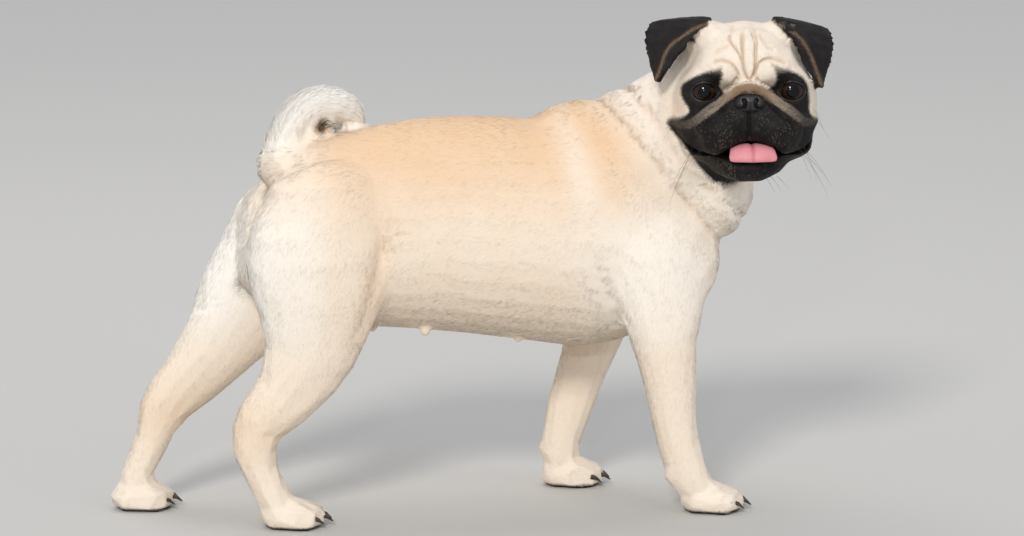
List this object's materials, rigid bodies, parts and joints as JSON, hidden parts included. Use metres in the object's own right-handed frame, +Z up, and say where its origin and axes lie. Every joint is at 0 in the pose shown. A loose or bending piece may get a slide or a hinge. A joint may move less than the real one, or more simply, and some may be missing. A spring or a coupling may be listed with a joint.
{
  "type": "standing dog model",
  "caption": "Life-size still model of a standing pug, head turned to its right, mouth open with the tongue out, tail curled over the rump.",
  "frame": {"origin": "on the floor, under the middle of the whole figure's box", "axes": "+X the way the trunk points, from the rump to the chest; +Y to the dog's left; +Z up"},
  "size_m": [0.5026, 0.2012, 0.3564],
  "materials": {
    "coat": "short dense cream to apricot fur, with a black mask on the face",
    "ear_velvet": "short black velvety fur",
    "eye": "wet and glossy, dark brown iris round a black pupil",
    "nose_leather": "damp pebbled black leather",
    "tongue": "moist, pink, finely grained",
    "claw_horn": "dull dark horn"
  },
  "bodies": {
    "root": {"trunk": "coat", "neck": "coat", "head": "coat", "lower_jaw": "coat", "tail": "coat", "upper_foreleg_right": "coat", "forearm_right": "coat", "forepaw_right": "coat", "thigh_right": "coat", "lower_leg_right": "coat", "metatarsus_right": "coat", "hindpaw_right": "coat", "upper_foreleg_left": "coat", "forearm_left": "coat", "forepaw_left": "coat", "thigh_left": "coat", "lower_leg_left": "coat", "metatarsus_left": "coat", "hindpaw_left": "coat", "ear_right": "ear_velvet", "ear_left": "ear_velvet", "eye_right": "eye", "eye_left": "eye", "nose": "nose_leather", "tongue": "tongue", "claw_fore_right_1": "claw_horn", "claw_fore_right_2": "claw_horn", "claw_fore_right_3": "claw_horn", "claw_fore_right_4": "claw_horn", "claw_fore_left_1": "claw_horn", "claw_fore_left_2": "claw_horn", "claw_fore_left_3": "claw_horn", "claw_fore_left_4": "claw_horn", "claw_hind_right_1": "claw_horn", "claw_hind_right_2": "claw_horn", "claw_hind_right_3": "claw_horn", "claw_hind_right_4": "claw_horn", "claw_hind_left_1": "claw_horn", "claw_hind_left_2": "claw_horn", "claw_hind_left_3": "claw_horn", "claw_hind_left_4": "claw_horn"}
  },
  "joints": []
}
